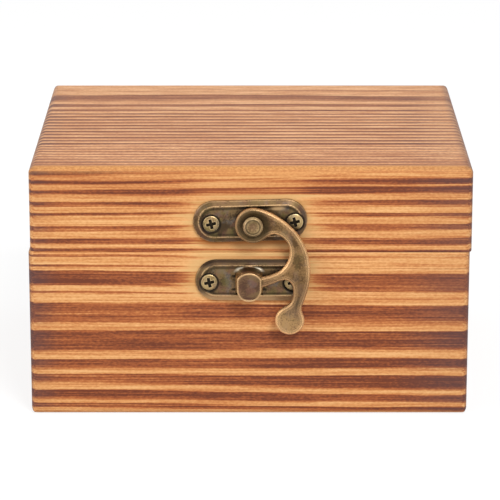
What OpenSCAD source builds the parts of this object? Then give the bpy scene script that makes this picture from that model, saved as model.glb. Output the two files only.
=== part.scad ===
// Jack in the box: a torched pine box whose lid is hinged at the back and held shut by a
// swing-hook latch. Inside, a turned wooden jack stands on a steel spring and rises as the
// lid opens. Millimetres, +Z up, front towards -Y, origin at the centre of the underside.
// The part is drawn shut, with the spring compressed and the hook under its keeper.

/* [Box] */
// Outside width, left to right
box_w = 106; // [90:1:150]
// Outside depth, front to back
box_d = 91; // [70:1:130]
// Height of the base, from the underside to the seam
base_h = 41; // [39:0.5:50]
// Height of the lid above the seam
lid_h = 21; // [19:0.5:28]
// Thickness of the front, back and side boards
wall_t = 8; // [6.5:0.5:12]
// Thickness of the board on top of the lid
top_t = 7; // [4:0.5:8.5]
// Thickness of the bottom board, set between the walls
bottom_t = 5; // [3:0.5:6]
// Rounding of the outer edges
edge_r = 1.8; // [0.5:0.1:3]
// Rounding of the edges along the seam
seam_r = 0.4; // [0.1:0.1:1]
// How far the hand-fitted lid sits to the right of the base
lid_offset = 0.4; // [0:0.1:1]

/* [Latch] */
// Length of each latch plate
plate_len = 27.3; // [26:0.1:34]
// Height of each latch plate
plate_h = 10.2; // [9:0.1:10.6]
// Thickness of each latch plate
plate_t = 1.2; // [1:0.1:1.6]
// Width of the bevel round a latch plate
plate_bevel = 1.3; // [0.6:0.1:1.4]
// Depth of the bevel round a latch plate
bevel_depth = 0.7; // [0.4:0.1:0.8]
// Distance between the two screws of a plate
screw_span = 20; // [18:0.1:20.6]
// Tilt of the hand-fitted upper plate, in degrees
hook_plate_tilt = 1.5; // [0:0.1:2]
// Distance of the hook's pivot to the right of the middle
pivot_x = 0.9; // [-4:0.1:4]
// Height of the hook's pivot above the seam
pivot_up = 7.6; // [7:0.1:8.4]
// Distance from the hook's pivot down to the edge of its jaw
hook_reach = 13; // [12.8:0.1:15]
// Thickness of the hook
hook_t = 1.6; // [1.2:0.1:2.4]
// Radius of the rivet that the hook turns on
rivet_r = 1.25; // [0.8:0.05:1.6]
// Radius of the rivet's head
rivet_head_r = 2.4; // [2:0.1:3]
// Thickness of the washer that holds the hook off its plate
washer_t = 1; // [0.8:0.1:2]
// Width of the keeper's tongue
tongue_w = 5.9; // [4.5:0.1:7]
// Height of the keeper's tongue
tongue_h = 7.2; // [6:0.1:8]
// Thickness of the keeper's tongue
tongue_t = 1.1; // [0.8:0.1:1.4]

/* [Screws] */
// Radius of a latch screw's head
screw_head_r = 1.95; // [1.7:0.05:2]
// Radius of a latch screw's shank
screw_r = 1; // [0.8:0.05:1.1]
// Length of a latch screw in the wood
screw_len = 6; // [4:0.5:6]
// Radius of a hinge screw's shank
hinge_screw_r = 0.8; // [0.6:0.05:0.9]
// Length of a hinge screw in the wood
hinge_screw_len = 5; // [3:0.5:6]

/* [Hinges] */
// Distance of each hinge from the middle of the box
hinge_x = 27; // [18:1:32]
// Width of a hinge leaf
leaf_w = 16; // [14:0.5:20]
// Reach of a hinge leaf from the pin
leaf_h = 9.5; // [9:0.5:12]
// Thickness of a hinge leaf
leaf_t = 0.8; // [0.6:0.1:1]
// Radius of the hinge barrel
barrel_r = 1.4; // [1.2:0.1:1.8]
// Radius of the hinge pin
pin_r = 0.6; // [0.4:0.05:0.8]
// Length of the lid's knuckle, in the middle of the barrel
knuckle_len = 6.4; // [4:0.2:8]
// Angle at which the stop on the lid's knuckle meets the base leaf, in degrees
stop_angle = 105; // [95:1:110]

/* [Jack] */
// Radius of the ball that makes the head
head_r = 11; // [9:0.5:11.5]
// Radius of the scalloped collar
collar_r = 17; // [14:0.5:19]
// Thickness of the collar
collar_t = 2; // [1.5:0.1:3]
// Number of scallops round the collar
scallops = 12; // [8:1:16]
// Thickness of the plug on top of the spring
plug_t = 3; // [2.5:0.1:4]
// Radius of the dowel from the plug into the head
dowel_r = 2.5; // [1.5:0.1:3]
// Height of the hat above the middle of the head
hat_h = 16.5; // [15:0.1:17.5]
// Radius of the bobble on the hat
bobble_r = 2; // [1.5:0.1:2.4]
// Radius of the nose
nose_r = 2.5; // [1.5:0.1:3]

/* [Spring] */
// Mean radius of the spring
spring_r = 11; // [8:0.5:12]
// Radius of the spring's wire
wire_r = 0.6; // [0.4:0.05:0.7]
// Gap between the turns while the spring is shut in the box
coil_gap = 0.08; // [0.05:0.01:0.6]
// Thickness of the disc under the spring
disc_t = 3; // [2:0.5:4]
// Radius of the disc under the spring
disc_r = 17; // [14:0.5:20]

/* [Hidden] */
$fn = 64;
eps = 0.01;

// The box
in_w = box_w - 2 * wall_t;
in_d = box_d - 2 * wall_t;
rail_h = lid_h - top_t;
ceiling_z = base_h + rail_h;

// The latch, as distances outwards from the front face
run_gap = 0.1;
hook_back = plate_t + washer_t + run_gap;
hook_front = hook_back + hook_t;
rivet_head_t = 1;
rivet_front = hook_front + run_gap + rivet_head_t;
tongue_gap = 0.4;
tongue_back = hook_front + tongue_gap;
tongue_front = tongue_back + tongue_t;

// The latch, on the front face
jaw_gap = 0.7;
pivot_z = base_h + pivot_up;
neck_z = pivot_z - hook_reach + jaw_gap;
tongue_top = neck_z + tongue_t;
tongue_top_r = tongue_w * 0.59;
keeper_z = tongue_top - tongue_h / 2;
keeper_x = 0.4;
tongue_x = keeper_x - 0.4;
hook_plate_shift = [-0.65, 0.45];
keeper_plate_shift = [0.36, 0.45];
washer_r = rivet_head_r + 0.5;

// The hook
hook_k = hook_reach / 13;
eye_r = 4.28 * hook_k;
hook_bore_gap = 0.05;
tip_r = 1.2 * hook_k;
tip_angle = -96;
ball_r = 3.55 * hook_k;
ball_centre = [8.84, -23.6] * hook_k;

// The hinges
barrel_gap = 0.1;
hinge_y = box_d / 2 + barrel_gap + barrel_r;
knuckle_gap = 0.2;
leaf_notch = barrel_r + 0.3;
pin_clearance = 0.05;
pin_head_r = pin_r + 0.45;
pin_head_t = 0.4;
leaf_corner_r = 1.6;
leaf_screw_x = 5;
leaf_screw_up = 6.2;
stop_t = 1.2;
stop_len = barrel_r + 1.8;

// The jack, from the bottom board up
lid_clearance = 0.8;
seat_gap = 0.1;
boss_r = spring_r - wire_r - seat_gap;
boss_h = 2.5;
plug_boss_h = 2;
plug_r = spring_r + 2;
disc_top = bottom_t + disc_t;
head_flat = dowel_r + 0.45;
head_up = plug_t + collar_t + sqrt(head_r * head_r - head_flat * head_flat);
hat_tip_r = bobble_r * 0.68;
bobble_up = sqrt(bobble_r * bobble_r - hat_tip_r * hat_tip_r);
figure_h = head_up + hat_h + bobble_up + bobble_r;
spring_top = ceiling_z - lid_clearance - figure_h;
spring_h = spring_top - disc_top;
head_z = spring_top + head_up;
hat_low = head_r * 0.42;
hat_r = sqrt(head_r * head_r - hat_low * hat_low);
hat_bulge = 0.18;
brim_r = 1.5;
dowel_in_head = 6;
dowel_len = plug_t + collar_t + dowel_in_head;
dowel_up = 1;
ear_r = head_r * 0.28;
eye_bead_r = 1.4;
eye_yaw = 22;
eye_pitch = 6;
nose_pitch = -10;
disc_screw_len = bottom_t - 1.5;
flat_turn = 0.1;
wire_d = 2 * wire_r;
turns = 2 * flat_turn + (spring_h - wire_d) * (1 - flat_turn) / (wire_d + coil_gap);

// ---------- Colours ----------
pine = "#c98b4e";
raw_pine = "#e3bd85";
bronze = "#6e5f3c";
brass = "#a08c5a";
steel = "#a9adb2";

// ---------- Boards ----------

// A rectangle of width w standing on y = 0, with its lower and upper corners rounded
module rounded_face(w, h, r_low, r_high) {
    translate([-w / 2, r_low]) square([w, h - r_low - r_high]);
    translate([-w / 2 + r_low, 0]) square([w - 2 * r_low, h / 2]);
    translate([-w / 2 + r_high, h / 2]) square([w - 2 * r_high, h / 2]);
    for (side = [-1, 1]) {
        translate([side * (w / 2 - r_low), r_low]) circle(r = r_low);
        translate([side * (w / 2 - r_high), h - r_high]) circle(r = r_high);
    }
}

// The outside of the base or the lid, standing on z = 0: every edge of the block is rounded
module envelope(h, r_low, r_high) {
    intersection() {
        translate([0, -box_d / 2, 0])
            linear_extrude(h) rounded_face(box_w, box_d, edge_r, edge_r);
        translate([0, box_d / 2, 0])
            rotate([90, 0, 0]) linear_extrude(box_d) rounded_face(box_w, h, r_low, r_high);
        translate([-box_w / 2, 0, 0])
            rotate([90, 0, 90]) linear_extrude(box_w) rounded_face(box_d, h, r_low, r_high);
    }
}

module base_envelope() {
    envelope(base_h, edge_r, seam_r);
}

module lid_envelope() {
    translate([lid_offset, 0, base_h]) envelope(lid_h, seam_r, edge_r);
}

// Front or back board, as wide as the box: side is -1 for the front and 1 for the back
module cross_board(side, z, h, x = 0) {
    y = side < 0 ? -box_d / 2 : box_d / 2 - wall_t;
    translate([x - box_w / 2, y, z]) cube([box_w, wall_t, h]);
}

// Left or right board, between the front and the back: side is -1 for the left
module side_board(side, z, h, x = 0) {
    left = side < 0 ? -box_w / 2 : box_w / 2 - wall_t;
    translate([x + left, -in_d / 2, z]) cube([wall_t, in_d, h]);
}

module base_front_board() {
    color(pine) difference() {
        intersection() {
            base_envelope();
            cross_board(-1, 0, base_h);
        }
        keeper_screw_places() screw_hole(screw_r, screw_len);
    }
}

module base_back_board() {
    color(pine) difference() {
        intersection() {
            base_envelope();
            cross_board(1, 0, base_h);
        }
        hinge_screw_places(-1) screw_hole(hinge_screw_r, hinge_screw_len);
    }
}

module base_side_board(side) {
    color(pine) intersection() {
        base_envelope();
        side_board(side, 0, base_h);
    }
}

module base_left_board() {
    base_side_board(-1);
}

module base_right_board() {
    base_side_board(1);
}

module base_bottom_board() {
    color(raw_pine) difference() {
        translate([-in_w / 2, -in_d / 2, 0]) cube([in_w, in_d, bottom_t]);
        spring_disc_screw_place() screw_hole(screw_r, disc_screw_len);
    }
}

module lid_top_board() {
    color(pine) intersection() {
        lid_envelope();
        translate([lid_offset - box_w / 2, -box_d / 2, ceiling_z]) cube([box_w, box_d, top_t]);
    }
}

module lid_front_rail() {
    color(pine) difference() {
        intersection() {
            lid_envelope();
            cross_board(-1, base_h, rail_h, lid_offset);
        }
        hook_plate_screw_places() screw_hole(screw_r, screw_len);
    }
}

module lid_back_rail() {
    color(pine) difference() {
        intersection() {
            lid_envelope();
            cross_board(1, base_h, rail_h, lid_offset);
        }
        hinge_screw_places(1) screw_hole(hinge_screw_r, hinge_screw_len);
    }
}

module lid_side_rail(side) {
    color(pine) intersection() {
        lid_envelope();
        side_board(side, base_h, rail_h, lid_offset);
    }
}

module lid_left_rail() {
    lid_side_rail(-1);
}

module lid_right_rail() {
    lid_side_rail(1);
}

// ---------- Screws ----------

// A raised countersunk screw with a cross recess: z = 0 is the face of the wood
module screw(head_r, shank_r, len) {
    cone_h = head_r - shank_r;
    dome_h = head_r * 0.2;
    dome_r = (head_r * head_r + dome_h * dome_h) / (2 * dome_h);
    recess_w = head_r * 0.4;
    recess_len = head_r * 1.25;
    recess_t = head_r * 0.4;
    difference() {
        union() {
            screw_shank(shank_r, len);
            cylinder(h = cone_h, r1 = shank_r, r2 = head_r);
            intersection() {
                translate([0, 0, cone_h + dome_h - dome_r]) sphere(r = dome_r);
                translate([0, 0, cone_h]) cylinder(h = 2 * dome_h, r = head_r);
            }
        }
        for (turn = [0, 90]) {
            rotate([0, 0, turn + 12])
                translate([-recess_len / 2, -recess_w / 2, cone_h + dome_h - recess_t])
                    cube([recess_len, recess_w, 2 * recess_t]);
        }
    }
}

// The part of a screw that is in the wood, down from z = 0
module screw_shank(shank_r, len) {
    point = shank_r * 1.6;
    translate([0, 0, point - len]) cylinder(h = len - point, r = shank_r);
    translate([0, 0, -len]) cylinder(h = point, r1 = shank_r * 0.15, r2 = shank_r);
}

// The hole that a screw cuts in the wood
module screw_hole(shank_r, len) {
    screw_shank(shank_r, len);
    translate([0, 0, -eps]) cylinder(h = 2 * eps, r = shank_r);
}

// A 90 degree countersink through a sheet that lies on z = 0
module countersink(shank_r, sheet_t) {
    translate([0, 0, -eps])
        cylinder(h = sheet_t + 2 * eps, r1 = shank_r - eps, r2 = shank_r + sheet_t + eps);
}

// ---------- Latch ----------

// Puts a piece on the front face: its x stays, its y goes up and its z points out
module on_front(x, z) {
    translate([x, -box_d / 2, z]) rotate([90, 0, 0]) children();
}

module hook_plate_place() {
    on_front(pivot_x, pivot_z) rotate([0, 0, hook_plate_tilt]) children();
}

module keeper_place() {
    on_front(keeper_x, keeper_z) children();
}

module screw_pair() {
    for (side = [-1, 1]) {
        translate([side * screw_span / 2, 0, 0]) children();
    }
}

module hook_plate_screw_places() {
    hook_plate_place() screw_pair() children();
}

module keeper_screw_places() {
    keeper_place() screw_pair() children();
}

// Half of the plate's bevelled section, for the round ends
module plate_half_section() {
    polygon([
        [0, 0],
        [plate_h / 2, 0],
        [plate_h / 2, plate_t - bevel_depth],
        [plate_h / 2 - plate_bevel, plate_t],
        [0, plate_t]
    ]);
}

// A plate with round ends and a bevelled rim, lying on z = 0
module bevelled_plate() {
    straight = plate_len - plate_h;
    for (side = [-1, 1]) {
        translate([side * straight / 2, 0, 0]) rotate_extrude() plate_half_section();
    }
    translate([-straight / 2, 0, 0]) rotate([90, 0, 90]) linear_extrude(straight) {
        plate_half_section();
        mirror([1, 0]) plate_half_section();
    }
}

module hook_plate() {
    color(bronze) hook_plate_place() difference() {
        translate(hook_plate_shift) bevelled_plate();
        screw_pair() countersink(screw_r, plate_t);
        translate([0, 0, -eps]) cylinder(h = plate_t + 2 * eps, r = rivet_r);
    }
}

module hook_plate_screws() {
    color(brass) hook_plate_screw_places() screw(screw_head_r, screw_r, screw_len);
}

// The rivet: a shank through plate, washer and hook, and a dished head with a round rim
module hook_rivet() {
    rim = rivet_head_t * 0.4;
    dish_r = rivet_head_r * 0.62;
    dish_t = 0.3;
    under = hook_front + run_gap;
    color(bronze) hook_plate_place() {
        cylinder(h = under + eps, r = rivet_r);
        difference() {
            union() {
                translate([0, 0, under]) cylinder(h = rivet_head_t - rim, r = rivet_head_r);
                translate([0, 0, rivet_front - rim])
                    cylinder(h = rim, r1 = rivet_head_r, r2 = rivet_head_r - rim);
            }
            translate([0, 0, rivet_front - dish_t])
                cylinder(h = dish_t + eps, r1 = dish_r * 0.3, r2 = dish_r);
        }
    }
}

module pivot_washer() {
    color(bronze) hook_plate_place() difference() {
        translate([0, 0, plate_t]) cylinder(h = washer_t, r = washer_r);
        translate([0, 0, plate_t - eps]) cylinder(h = washer_t + 2 * eps, r = rivet_r);
    }
}

// Face of the tongue, seen from the front: a wide arch above and a round lower end
module tongue_face() {
    round_r = tongue_w / 2;
    translate([0, round_r - tongue_h]) circle(r = round_r);
    intersection() {
        translate([0, -tongue_top_r]) circle(r = tongue_top_r);
        translate([-round_r, round_r - tongue_h]) square([tongue_w, tongue_h - round_r]);
    }
}

// Half of the neck's section: it flares out of the plate and narrows towards the tongue
module neck_section() {
    flare = tongue_w * 0.11;
    draft = tongue_w * 0.05;
    root_r = tongue_top_r + draft + flare;
    sink = plate_t / 2;
    polygon(concat(
        [[0, -sink], [root_r, -sink]],
        arc([root_r, flare], flare, 270, 180, 5),
        [[tongue_top_r - draft, tongue_front - plate_t - tongue_t / 2]],
        [[0, tongue_front - plate_t - tongue_t / 2]]
    ));
}

// The neck of the tongue: an arched hood whose underside stays clear of the swinging jaw
module tongue_neck() {
    intersection() {
        translate([0, -tongue_top_r, plate_t]) rotate_extrude() neck_section();
        translate([pivot_x - tongue_x, pivot_z - tongue_top, 0])
            cylinder(h = tongue_front, r = hook_reach - jaw_gap, $fn = 128);
    }
}

// The keeper: the tongue is cut from the plate and bent out, which leaves a window behind it
module keeper_plate() {
    window_w = tongue_w + 0.6;
    window_h = tongue_h - tongue_t - 0.6;
    tongue_up = tongue_top - keeper_z;
    color(bronze) keeper_place() {
        difference() {
            translate(keeper_plate_shift) bevelled_plate();
            screw_pair() countersink(screw_r, plate_t);
            translate([tongue_x - keeper_x - window_w / 2, tongue_up - tongue_t - window_h, -eps])
                cube([window_w, window_h, plate_t + 2 * eps]);
        }
        translate([tongue_x - keeper_x, tongue_up, 0]) {
            tongue_neck();
            translate([0, 0, tongue_back]) linear_extrude(tongue_t) tongue_face();
        }
    }
}

module keeper_screws() {
    color(brass) keeper_screw_places() screw(screw_head_r, screw_r, screw_len);
}

// Points on an arc, from angle a to angle b
function arc(centre, r, a, b, steps) = [
    for (i = [0:steps])
        centre + r * [cos(a + (b - a) * i / steps), sin(a + (b - a) * i / steps)]
];

// A point on the smooth curve between q and r, with neighbours p and s
function between(p, q, r, s, t) =
    0.5 * (2 * q + (r - p) * t + (2 * p - 5 * q + 4 * r - s) * t * t
           + (3 * q - p - 3 * r + s) * t * t * t);

// A smooth curve through all knots but the first and the last, which only guide its ends
function curve(knots, steps) = [
    for (i = [1:len(knots) - 3])
        for (j = [(i == 1 ? 1 : 0):steps - 1])
            between(knots[i - 1], knots[i], knots[i + 1], knots[i + 2], j / steps)
];

// The hook's outline about its pivot, anticlockwise: eye, inner edge, jaw, tip, lower edge,
// thumb ball and outer edge
inner_knots = [
    [3.7, -2.6], [4.9, -2.15], [6.2, -2.45], [7.4, -3.3], [8.3, -4.5],
    [8.75, -6.2], [8.6, -8], [7.9, -9.6], [6.9, -10.85]
] * hook_k;
lower_knots = [
    [0.4, -15.5], [2.3, -15.3], [4.4, -14.6], [6.2, -13.85], [7.7, -13.5],
    [8.8, -14], [9.5, -15.2], [9.65, -16.8], [9.4, -18.4], [8.7, -19.55], [7.7, -20.15]
] * hook_k;
outer_knots = [
    [11.75, -21.3], [11.75, -20.2], [12.3, -18.6], [12.95, -16.6], [13.5, -14.2],
    [13.75, -11.6], [13.5, -8.8], [12.9, -6.3], [11.9, -4], [10.5, -1.85], [8.7, 0.05],
    [6.6, 1.7], [4.4, 3], [2.3, 3.85]
] * hook_k;
eye_arc = arc([0, 0], eye_r, 80, 300, 22);
jaw_arc = arc([0, 0], hook_reach, -62, tip_angle + 4, 8);
tip_centre = (hook_reach + tip_r) * [cos(tip_angle), sin(tip_angle)];
tip_arc = arc(tip_centre, tip_r, tip_angle + 180, tip_angle + 360, 8);
ball_arc = arc(ball_centre, ball_r, 125, 375, 20);
hook_outline = concat(
    eye_arc,
    curve(concat([eye_arc[21], eye_arc[22]], inner_knots, [jaw_arc[0], jaw_arc[1]]), 3),
    jaw_arc,
    tip_arc,
    curve(concat([tip_arc[7], tip_arc[8]], lower_knots, [ball_arc[0], ball_arc[1]]), 3),
    ball_arc,
    curve(concat([ball_arc[19], ball_arc[20]], outer_knots, [eye_arc[0], eye_arc[1]]), 2)
);

// An outline moved inwards by a distance, at one level
function inset_ring(outline, inset, z) = [
    for (i = [0:len(outline) - 1])
        let (
            n = len(outline),
            along = outline[(i + 1) % n] - outline[(i + n - 1) % n],
            inward = [-along[1], along[0]] / norm(along),
            p = outline[i] + inset * inward
        )
        [p[0], p[1], z]
];

// The faces between rings of n points each, from the lowest ring to the highest
function ring_sides(n, count) = [
    for (k = [0:count - 2])
        for (i = [0:n - 1])
            [k * n + i, (k + 1) * n + i, (k + 1) * n + (i + 1) % n, k * n + (i + 1) % n]
];

// Twice the area of a triangle, positive when it runs anticlockwise
function turn_of(a, b, c) = (b[0] - a[0]) * (c[1] - a[1]) - (b[1] - a[1]) * (c[0] - a[0]);

// Whether the corner b of the outline a, b, c is an ear: convex, with none of `others` inside
function is_ear(a, b, c, others) =
    turn_of(a, b, c) > 0
    && len([
        for (p = others)
            if (turn_of(a, b, p) > 0 && turn_of(b, c, p) > 0 && turn_of(c, a, p) > 0) p
    ]) == 0;

// Cuts an outline into triangles of its own corners, ear by ear. `left` holds the corners that
// are left, k the one that is tried, and `tries` how many were tried since the last ear
function ears_of(outline, left, k = 0, tries = 0, done = []) =
    let (
        n = len(left),
        before = left[(k + n - 1) % n],
        after = left[(k + 1) % n]
    )
    n == 3
        ? concat(done, [left])
        : tries == n || is_ear(
            outline[before], outline[left[k]], outline[after], [for (i = left) outline[i]]
        )
            ? ears_of(
                outline, [for (i = [0:n - 1]) if (i != k) left[i]], (k + 1) % (n - 1), 0,
                concat(done, [[before, left[k], after]])
            )
            : ears_of(outline, left, (k + 1) % n, tries + 1, done);

// A solid through rings of equal length, from the lowest to the highest. Rings that aren't
// convex lie flat, and their caps are cut into ears
module loft(rings, convex = true) {
    n = len(rings[0]);
    top = (len(rings) - 1) * n;
    corners = [for (i = [0:n - 1]) i];
    low_caps = convex ? [corners] : ears_of(rings[0], corners);
    high_caps = convex ? [corners] : ears_of(rings[len(rings) - 1], corners);
    polyhedron(
        points = [for (ring = rings) each ring],
        faces = concat(
            ring_sides(n, len(rings)),
            low_caps,
            [for (cap = high_caps) [for (i = [len(cap) - 1:-1:0]) top + cap[i]]]
        )
    );
}

// The swing hook: a flat casting with rounded edges, a slightly raised face and a bored eye
module latch_hook() {
    edge = hook_t * 0.22;
    crown = hook_t * 0.08;
    crown_in = 0.75 * tip_r;
    color(bronze) on_front(pivot_x, pivot_z) difference() {
        loft(
            [
                inset_ring(hook_outline, edge, hook_back),
                inset_ring(hook_outline, 0, hook_back + edge),
                inset_ring(hook_outline, 0, hook_front - crown - edge),
                inset_ring(hook_outline, edge, hook_front - crown),
                inset_ring(hook_outline, crown_in, hook_front)
            ],
            convex = false
        );
        translate([0, 0, hook_back - eps])
            cylinder(h = hook_t + 2 * eps, r = rivet_r + hook_bore_gap);
    }
}

// ---------- Hinges ----------

// Puts a piece on the back face with its origin on the pin: x across, y up, z out
module on_hinge(side) {
    translate([side * hinge_x, hinge_y, base_h]) rotate([90, 0, 180]) children();
}

// The screw places of both hinges: up is 1 for the lid's leaves and -1 for the base's
module hinge_screw_places(up) {
    for (side = [-1, 1]) {
        for (across = [-1, 1]) {
            on_hinge(side)
                translate([across * leaf_screw_x, up * leaf_screw_up, -barrel_gap - barrel_r])
                    children();
        }
    }
}

// A leaf from its knuckle edge (y = low) to its far edge, with two rounded far corners
module leaf_outline(low) {
    r = leaf_corner_r;
    translate([-leaf_w / 2, low]) square([leaf_w, leaf_h - low - r]);
    translate([-leaf_w / 2 + r, leaf_h - 2 * r]) square([leaf_w - 2 * r, 2 * r]);
    for (side = [-1, 1]) {
        translate([side * (leaf_w / 2 - r), leaf_h - r]) circle(r = r);
    }
}

// A leaf with its knuckles from x = from to x = to: up is 1 for the lid and -1 for the base
module leaf(up, spans, bore_r) {
    back = -barrel_gap - barrel_r;
    difference() {
        union() {
            translate([0, 0, back]) linear_extrude(leaf_t) {
                mirror([0, up < 0 ? 1 : 0]) {
                    leaf_outline(leaf_notch);
                    for (span = spans) {
                        translate([span[0], 0]) square([span[1] - span[0], leaf_notch + eps]);
                    }
                }
            }
            for (span = spans) {
                translate([span[0], 0, 0])
                    rotate([0, 90, 0]) cylinder(h = span[1] - span[0], r = barrel_r);
            }
        }
        for (span = spans) {
            translate([span[0] - eps, 0, 0])
                rotate([0, 90, 0]) cylinder(h = span[1] - span[0] + 2 * eps, r = bore_r);
        }
        for (across = [-1, 1]) {
            translate([across * leaf_screw_x, up * leaf_screw_up, back])
                countersink(hinge_screw_r, leaf_t);
        }
    }
}

module base_leaf(side) {
    inner = knuckle_len / 2 + knuckle_gap;
    color(bronze) on_hinge(side)
        leaf(-1, [[-leaf_w / 2, -inner], [inner, leaf_w / 2]], pin_r);
}

// The lid's leaf carries the stop: a finger on its knuckle that lands on the base leaf
module lid_leaf(side) {
    half = knuckle_len / 2;
    color(bronze) on_hinge(side) difference() {
        union() {
            leaf(1, [[-half, half]], pin_r + pin_clearance);
            rotate([90 - stop_angle, 0, 0])
                translate([-half, -stop_t / 2, 0]) cube([knuckle_len, stop_t, stop_len]);
        }
        translate([-half - eps, 0, 0])
            rotate([0, 90, 0]) cylinder(h = knuckle_len + 2 * eps, r = pin_r + pin_clearance);
    }
}

module hinge_pin(side) {
    half = leaf_w / 2;
    color(brass) on_hinge(side) rotate([0, 90, 0]) {
        translate([0, 0, -half]) cylinder(h = leaf_w, r = pin_r);
        for (end = [-half - pin_head_t, half]) {
            translate([0, 0, end]) cylinder(h = pin_head_t, r = pin_head_r);
        }
    }
}

module hinge_screws(up) {
    color(brass) hinge_screw_places(up)
        screw(hinge_screw_r + leaf_t, hinge_screw_r, hinge_screw_len);
}

module hinge_left_base_leaf() {
    base_leaf(-1);
}

module hinge_right_base_leaf() {
    base_leaf(1);
}

module hinge_left_lid_leaf() {
    lid_leaf(-1);
}

module hinge_right_lid_leaf() {
    lid_leaf(1);
}

module hinge_left_pin() {
    hinge_pin(-1);
}

module hinge_right_pin() {
    hinge_pin(1);
}

module hinge_base_screws() {
    hinge_screws(-1);
}

module hinge_lid_screws() {
    hinge_screws(1);
}

// ---------- Spring ----------

// A turned disc with a chamfered upper rim, standing on z = 0
module turned_disc(r, h, chamfer) {
    cylinder(h = h - chamfer, r = r);
    translate([0, 0, h - chamfer]) cylinder(h = chamfer, r1 = r, r2 = r - chamfer);
}

module spring_disc_screw_place() {
    translate([0, 0, bottom_t]) children();
}

module spring_disc() {
    head_seat = screw_head_r - screw_r;
    top = disc_t + boss_h;
    color(raw_pine) translate([0, 0, bottom_t]) difference() {
        union() {
            turned_disc(disc_r, disc_t, 0.6);
            turned_disc(boss_r, top, 0.4);
        }
        translate([0, 0, -eps]) cylinder(h = top, r = screw_r);
        translate([0, 0, top - head_seat]) countersink(screw_r, head_seat);
    }
}

module spring_disc_screw() {
    top = disc_t + boss_h;
    seat = top - (screw_head_r - screw_r);
    color(steel) translate([0, 0, bottom_t]) {
        translate([0, 0, -eps]) cylinder(h = seat + 2 * eps, r = screw_r);
        translate([0, 0, seat]) screw(screw_head_r, screw_r, screw_r * 2);
        screw_shank(screw_r, disc_screw_len);
    }
}

// Height along the spring: the end turns lie flat and the rest climb evenly
function climb(t) = min(1, max(0, (t * turns - flat_turn) / (turns - 2 * flat_turn)));

// A ring of the wire's section at t, from 0 at the bottom to 1 at the top
function wire_ring(t, sides) = [
    for (i = [0:sides - 1])
        let (
            a = 360 * turns * t,
            b = 360 * i / sides,
            out = spring_r + wire_r * cos(b)
        )
        [out * cos(a), out * sin(a), wire_r + (spring_h - 2 * wire_r) * climb(t) + wire_r * sin(b)]
];

module jack_spring() {
    steps = round(turns * 24);
    color(steel) translate([0, 0, disc_top])
        loft([for (k = [steps:-1:0]) wire_ring(k / steps, 8)]);
}

// ---------- Jack ----------

module head_ball() {
    translate([0, 0, head_z]) sphere(r = head_r, $fn = 128);
}

module dowel(gap = 0) {
    translate([0, 0, spring_top + dowel_up - gap])
        cylinder(h = dowel_len + 2 * gap, r = dowel_r);
}

module spring_plug() {
    color("#c8452f") difference() {
        translate([0, 0, spring_top]) union() {
            turned_disc(plug_r, plug_t, 0.8);
            translate([0, 0, -plug_boss_h]) cylinder(h = plug_boss_h + eps, r = boss_r);
        }
        dowel();
    }
}

module neck_dowel() {
    color(raw_pine) dowel();
}

// The collar: a disc with round scallops, like a clown's ruff
module collar() {
    lobe_r = collar_r * sin(180 / scallops) / (1 + sin(180 / scallops)) * 1.12;
    color("#e9c53c") difference() {
        translate([0, 0, spring_top + plug_t]) union() {
            cylinder(h = collar_t, r = collar_r - lobe_r);
            for (i = [0:scallops - 1]) {
                rotate([0, 0, 360 * i / scallops])
                    translate([collar_r - lobe_r, 0, 0]) cylinder(h = collar_t, r = lobe_r);
            }
        }
        dowel();
    }
}

module head() {
    color("#e8bd8e") difference() {
        intersection() {
            head_ball();
            translate([0, 0, spring_top + plug_t + collar_t])
                cylinder(h = 3 * head_r, r = 2 * head_r);
        }
        dowel();
    }
}

module ears() {
    color("#e8bd8e") difference() {
        for (side = [-1, 1]) {
            translate([side * (head_r - 0.2), 0, head_z - head_r * 0.1]) sphere(r = ear_r);
        }
        head_ball();
    }
}

// Puts a piece on the head's surface: yaw turns it to the side and pitch raises it
module on_face(yaw, pitch) {
    translate([0, 0, head_z]) rotate([0, 0, yaw]) rotate([90 - pitch, 0, 0])
        translate([0, 0, head_r]) children();
}

module eyes() {
    color("#2b3a55") difference() {
        for (side = [-1, 1]) {
            on_face(side * eye_yaw, eye_pitch) sphere(r = eye_bead_r, $fn = 96);
        }
        head_ball();
    }
}

module nose() {
    color("#cf3a2a") difference() {
        on_face(0, nose_pitch) translate([0, 0, nose_r * 0.4]) sphere(r = nose_r);
        head_ball();
    }
}

// Side of the hat, from its tip down to the brim: a straight line bowed outwards
function hat_side(steps) = [
    for (i = [0:steps])
        let (
            t = i / steps,
            tip = [hat_tip_r, hat_h],
            low = [hat_r, hat_low],
            across = low - tip,
            bow = 4 * hat_bulge * t * (1 - t)
        )
        tip + t * across + bow * [-across[1], across[0]]
];

module hat_cone() {
    translate([0, 0, head_z])
        rotate_extrude() polygon(concat([[0, hat_h]], hat_side(10), [[0, hat_low]]));
}

module hat() {
    color("#3f6fae") difference() {
        hat_cone();
        head_ball();
    }
}

module hat_brim() {
    color("#e9c53c") difference() {
        translate([0, 0, head_z + hat_low]) rotate_extrude() translate([hat_r, 0]) circle(r = brim_r);
        head_ball();
        hat_cone();
    }
}

module hat_bobble() {
    color("#cf3a2a") intersection() {
        translate([0, 0, head_z + hat_h + bobble_up]) sphere(r = bobble_r);
        translate([0, 0, head_z + hat_h]) cylinder(h = 3 * bobble_r, r = 2 * bobble_r);
    }
}

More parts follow.
